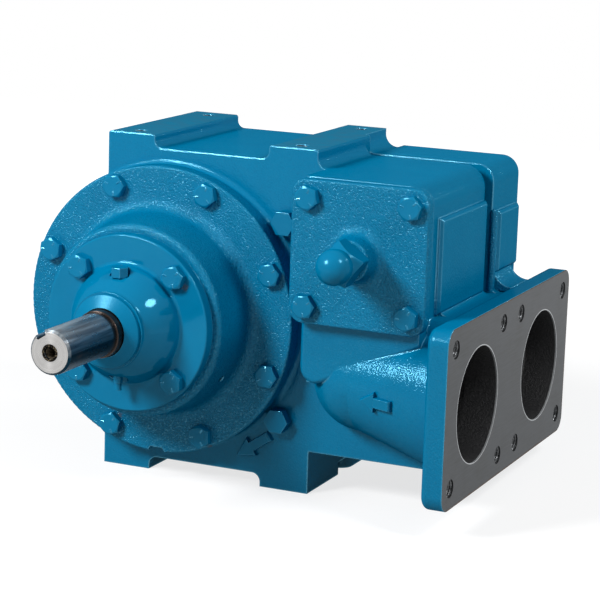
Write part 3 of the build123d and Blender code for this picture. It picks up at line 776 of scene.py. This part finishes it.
form = bmesh.new()
middle_x, middle_z = BLOCK_RIGHT + 1.0 + CORNER_ROUND, FLANGE_HIGH + CORNER_ROUND
profile = [(BLOCK_RIGHT - 2, FLANGE_HIGH - SUNK), (BLOCK_RIGHT - 2, middle_z)]
for step in range(CAST_STEPS + 1):
    angle = pi + pi / 2 * step / CAST_STEPS
    profile.append((middle_x + CORNER_ROUND * cos(angle), middle_z + CORNER_ROUND * sin(angle)))
profile.append((middle_x, FLANGE_HIGH - SUNK))
ends = []
for y in (CORNER_FRONT, BLOCK_BACK - SUNK):
    ends.append([form.verts.new(SHAFT_AXIS + Vector((x, y, z))) for x, z in profile])
skin(form, ends)
for end in ends:
    form.faces.new(end)
finished_piece("valve_housing_corner", form, rough_enamel, "housing")
print("soft corner of", CORNER_ROUND, "mm laid")

# %% [markdown]
# The holes of the port face, the top pads and the shaft end are tapped. A thread is a
# ridge that winds round the wall of its hole, and its crests shine where the tap cut
# the iron. It could be a bump on the wall, but the ridges show as steps against the dark
# of the hole. So it is a mesh: a grid of points round and along the hole, whose radius
# goes in and out with the pitch. The port threads end inside the flange.

# %% Threads
THREAD_STEPS, ROWS_PER_PITCH = 24, 4
THREAD_GAP, RIDGE_SHARE = 0.05, 0.55
PAD_HOLES = ((-41.75, 116.75), (-67.0, 67.0))
SHAFT_FACE_Y = -297.0


def thread(form, place, radius, pitch, depth, start=0.8):
    """Adds the wall of one tapped hole, running down -Z from the XY plane."""
    rows = int((depth - start) / pitch * ROWS_PER_PITCH)
    rings = []
    for row in range(rows + 1):
        down = start + row * pitch / ROWS_PER_PITCH
        ring = []
        for step in range(THREAD_STEPS):
            phase = (down / pitch + step / THREAD_STEPS) % 1.0
            ridge = 1 - abs(2 * phase - 1)
            angle = 2 * pi * step / THREAD_STEPS
            reach = radius - THREAD_GAP - RIDGE_SHARE * pitch * ridge
            ring.append(form.verts.new(place @ Vector((reach * cos(angle), reach * sin(angle), -down))))
        rings.append(ring)
    skin(form, rings)


def face_place(x, y, z, turn, axis):
    """The place of a hole's mouth, turned so that the hole runs down its own -Z."""
    return Matrix.Translation(SHAFT_AXIS + Vector((x, y, z))) @ Matrix.Rotation(turn, 4, axis)


form = bmesh.new()
for port_y in (-PORT_PITCH / 2, PORT_PITCH / 2):
    for side in (-HOLE_OFF, HOLE_OFF):
        for up in (-HOLE_OFF, HOLE_OFF):
            mouth = face_place(PORT_FACE_X, port_y + side, PORT_Z + up, pi / 2, "Y")
            thread(form, mouth, 8.0, 2.0, 19.0)
finished_piece("port_face_threads", form, thread_steel, "housing")
form = bmesh.new()
for x in PAD_HOLES[0]:
    for y in PAD_HOLES[1]:
        thread(form, face_place(x, y, PAD_TOP, 0, "Z"), 6.35, 1.75, 20.0)
finished_piece("pad_threads", form, thread_steel, "housing")
form = bmesh.new()
thread(form, face_place(0, SHAFT_FACE_Y, 0, pi / 2, "X"), 5.2, 1.5, 20.0, 2.0)
finished_piece("shaft_thread", form, dull_steel, "rotor")
print("threads cut")

# %% [markdown]
# The light is a plain studio: a big round soft lamp high on the left, a weaker one on the
# right and a narrow strip behind. Their directions were read from the three bright spots
# on the ball of the valve cap, because a ball shows each lamp at the point that looks
# halfway between the lamp and the camera.

# %% Lamps
LAMP_DISTANCE = 2.2
LAMP_AIM = at(60, 0, 0)


def lamp(name, direction, shape, size, power, turn=0.0):
    """An area lamp that looks at the middle of the pump from a direction."""
    data = bpy.data.lights.new(name, "AREA")
    data.shape = shape
    data.size, data.size_y = size
    data.energy = power
    made = bpy.data.objects.new(name, data)
    bpy.context.scene.collection.objects.link(made)
    toward = Vector(direction).normalized()
    made.location = LAMP_AIM + toward * LAMP_DISTANCE
    made.rotation_mode = "QUATERNION"
    made.rotation_quaternion = toward.to_track_quat("Z", "Y") @ Quaternion((0, 0, 1), radians(turn))
    return made


lamp("key_lamp", (-0.44, -0.71, 0.55), "ELLIPSE", (0.66, 0.66), 53)
lamp("fill_lamp", (0.69, -0.25, 0.68), "ELLIPSE", (0.5, 0.5), 21)
lamp("strip_lamp", (0.68, 0.62, 0.39), "RECTANGLE", (0.07, 1.1), 14, 30)

# %% [markdown]
# The pump stands before plain white. If the white came from more light, the paint would
# wash out. So the world is white to the camera and to mirrors, and only a dim sky to
# everything else.


# %% World
def seen_directly(tree):
    """1 where the camera sees a surface, straight on or in a mirror or through glass."""
    path = add(tree, "LightPath", {}, []).outputs
    seen = path["Is Camera Ray"]
    for kind in ("Is Transmission Ray", "Is Glossy Ray"):
        seen = add(tree, "Math", {"operation": "MAXIMUM"}, [seen, path[kind]])
    return seen


world = bpy.data.worlds.new("studio")
bpy.context.scene.world = world
world.use_nodes = True
tree = world.node_tree
tree.nodes.clear()
dim = add(tree, "Background", {}, {"Color": "#D8E4F0", "Strength": 0.16})
white = add(tree, "Background", {}, {"Color": "#FFFFFF", "Strength": 1.0})
add(tree, "OutputWorld", {}, [add(tree, "MixShader", {}, [seen_directly(tree), dim, white])])
print("world made")

# %% [markdown]
# The floor has to keep the pump's soft shadow and yet run into the white behind it with
# no line. It is a grey matt sheet with a white glow of its own, which only the camera and
# mirrors see. The glow grows away from the pump until the sheet is as white as the world.

# %% Floor
FLOOR_SIZE = 2.2
GLOW_FROM_MM, GLOW_TO_MM = 350.0, 1500.0

floor_mesh = bpy.data.meshes.new("floor")
form = bmesh.new()
bmesh.ops.create_grid(form, x_segments=1, y_segments=1, size=FLOOR_SIZE)
form.to_mesh(floor_mesh)
form.free()
floor = bpy.data.objects.new("floor", floor_mesh)
bpy.context.scene.collection.objects.link(floor)

floor_material, tree = new_material("pale_floor")
matt = add(tree, "BsdfDiffuse", {}, {"Color": "#949494"})
here, x, y, z = place_of(tree)
growing = {"From Min": GLOW_FROM_MM, "From Max": GLOW_TO_MM, "To Min": 0.75, "To Max": 1.0}
from_pump = distance(tree, x, y, (60.0, 0.0))
out_there = add(tree, "MapRange", {"interpolation_type": "SMOOTHSTEP"}, {"Value": from_pump, **growing})
level = all_of(tree, seen_directly(tree), out_there)
glow = add(tree, "Emission", {}, {"Color": "#FFFFFF", "Strength": level})
add(tree, "OutputMaterial", {}, [add(tree, "AddShader", {}, [matt, glow])])
floor_mesh.materials.append(floor_material)
print("floor corners at", [tuple(round(v, 2) for v in corner.co) for corner in floor_mesh.vertices])

# %% [markdown]
# The camera stands where the photographer's did. Its place, turn and lens were worked out
# from the pump's own right angles and circles, so no shift is needed.

# %% Camera
CAMERA_TURN, CAMERA_HEIGHT, CAMERA_ROLL = (radians(v) for v in (23.87, 11.955, 1.87))
CAMERA_PLACE = at(906.44, -1845.67, 428.41)
FOCAL_PIXELS, IMAGE_PIXELS = 2251.5, 600

back_x = sin(CAMERA_TURN) * cos(CAMERA_HEIGHT)
back_y = -cos(CAMERA_TURN) * cos(CAMERA_HEIGHT)
back = Vector((back_x, back_y, sin(CAMERA_HEIGHT)))
level_right = Vector((cos(CAMERA_TURN), sin(CAMERA_TURN), 0))
level_up = back.cross(level_right)
right = cos(CAMERA_ROLL) * level_right + sin(CAMERA_ROLL) * level_up
up = cos(CAMERA_ROLL) * level_up - sin(CAMERA_ROLL) * level_right
camera_data = bpy.data.cameras.new("camera")
camera_data.sensor_width = 36.0
camera_data.lens = FOCAL_PIXELS / IMAGE_PIXELS * camera_data.sensor_width
camera_data.clip_start, camera_data.clip_end = 0.05, 50.0
camera = bpy.data.objects.new("camera", camera_data)
bpy.context.scene.collection.objects.link(camera)
turn = Matrix((right, up, back)).transposed().to_4x4()
camera.matrix_world = Matrix.Translation(CAMERA_PLACE) @ turn
bpy.context.scene.camera = camera
bpy.context.scene.view_settings.view_transform = "Standard"
print("camera at", [round(v, 3) for v in camera.location], "lens", round(camera_data.lens, 1), "mm")
